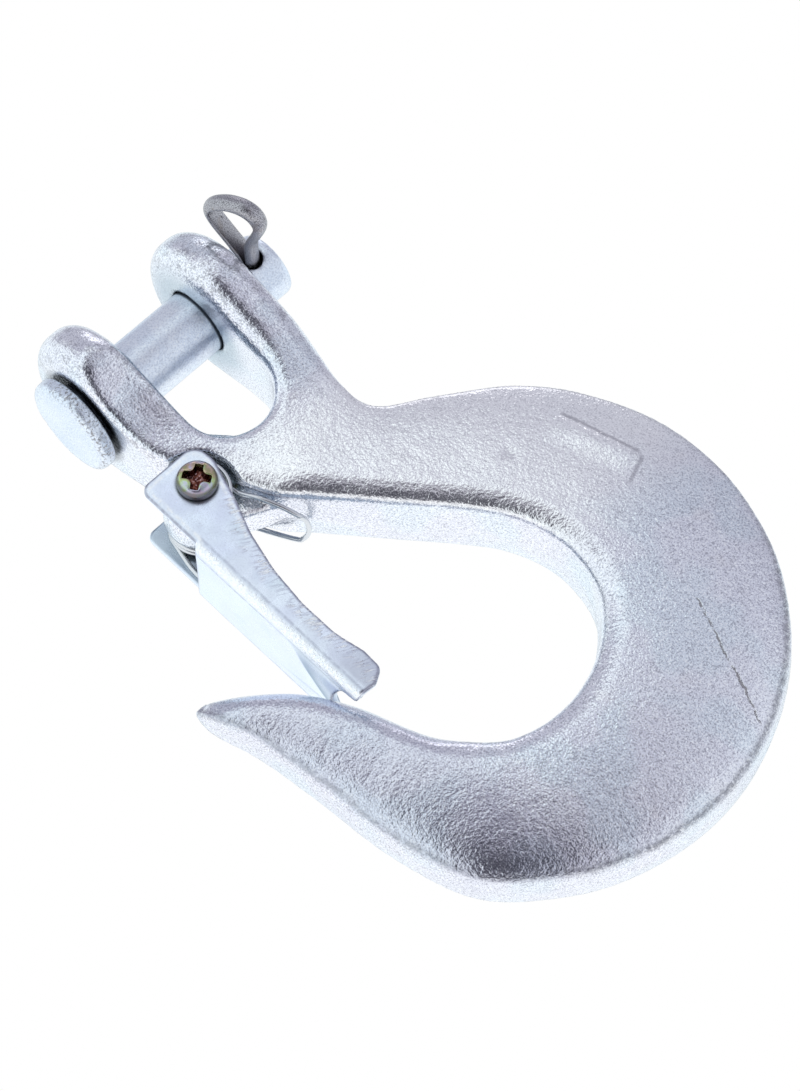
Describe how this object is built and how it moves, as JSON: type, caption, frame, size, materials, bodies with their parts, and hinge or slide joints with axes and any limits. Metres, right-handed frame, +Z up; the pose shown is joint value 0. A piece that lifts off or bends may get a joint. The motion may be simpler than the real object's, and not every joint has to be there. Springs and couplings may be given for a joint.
{
  "type": "clevis slip hook with safety latch",
  "caption": "Zinc-plated forged clevis hook with a sprung sheet-metal throat latch, for trailer safety chains.",
  "frame": {"origin": "on the clevis pin's centre line, halfway between the two ears of the clevis", "axes": "+Z up the shank as the hook hangs, +X along the clevis pin from its head to the cotter end, +Y across the thickness, away from the screw head's side"},
  "size_m": [0.0849, 0.0402, 0.128],
  "materials": {
    "forging": "bright blue-white zinc plate over a grainy forged surface",
    "pin": "bright zinc plate over turned bar with fine grain",
    "cotter": "plain drawn steel wire, dull grey",
    "latch_sheet": "smooth bright blue zinc plate on pressed sheet",
    "screw": "iridescent yellow zinc plate",
    "nut": "bright zinc plate",
    "insert": "nylon",
    "spring": "smooth drawn spring wire"
  },
  "bodies": {
    "hook": {"hook_body": "forging", "latch_screw": "screw", "latch_nut": "nut", "latch_nut_insert": "insert", "latch_spring": "spring"},
    "latch_arm": {"latch": "latch_sheet"},
    "pin": {"clevis_pin": "pin"},
    "cotter": {"cotter_pin": "cotter"}
  },
  "joints": [
    {"name": "latch_pivot", "type": "hinge", "parent": "hook", "child": "latch_arm", "pos_m": [-0.0145, 0, -0.0242], "axis": [0, -1, 0], "range_deg": [0, 40], "stiffness_Nm_per_rad": 0.12, "springref_deg": -34.38, "deforming": ["latch_spring"]},
    {"name": "pin_spin", "type": "hinge", "parent": "hook", "child": "pin", "pos_m": [0, 0, 0], "axis": [1, 0, 0], "continuous": true},
    {"name": "cotter_withdraw", "type": "slide", "parent": "pin", "child": "cotter", "axis": [0, -0.9998, 0.0175], "range_m": [0, 0.012]}
  ]
}
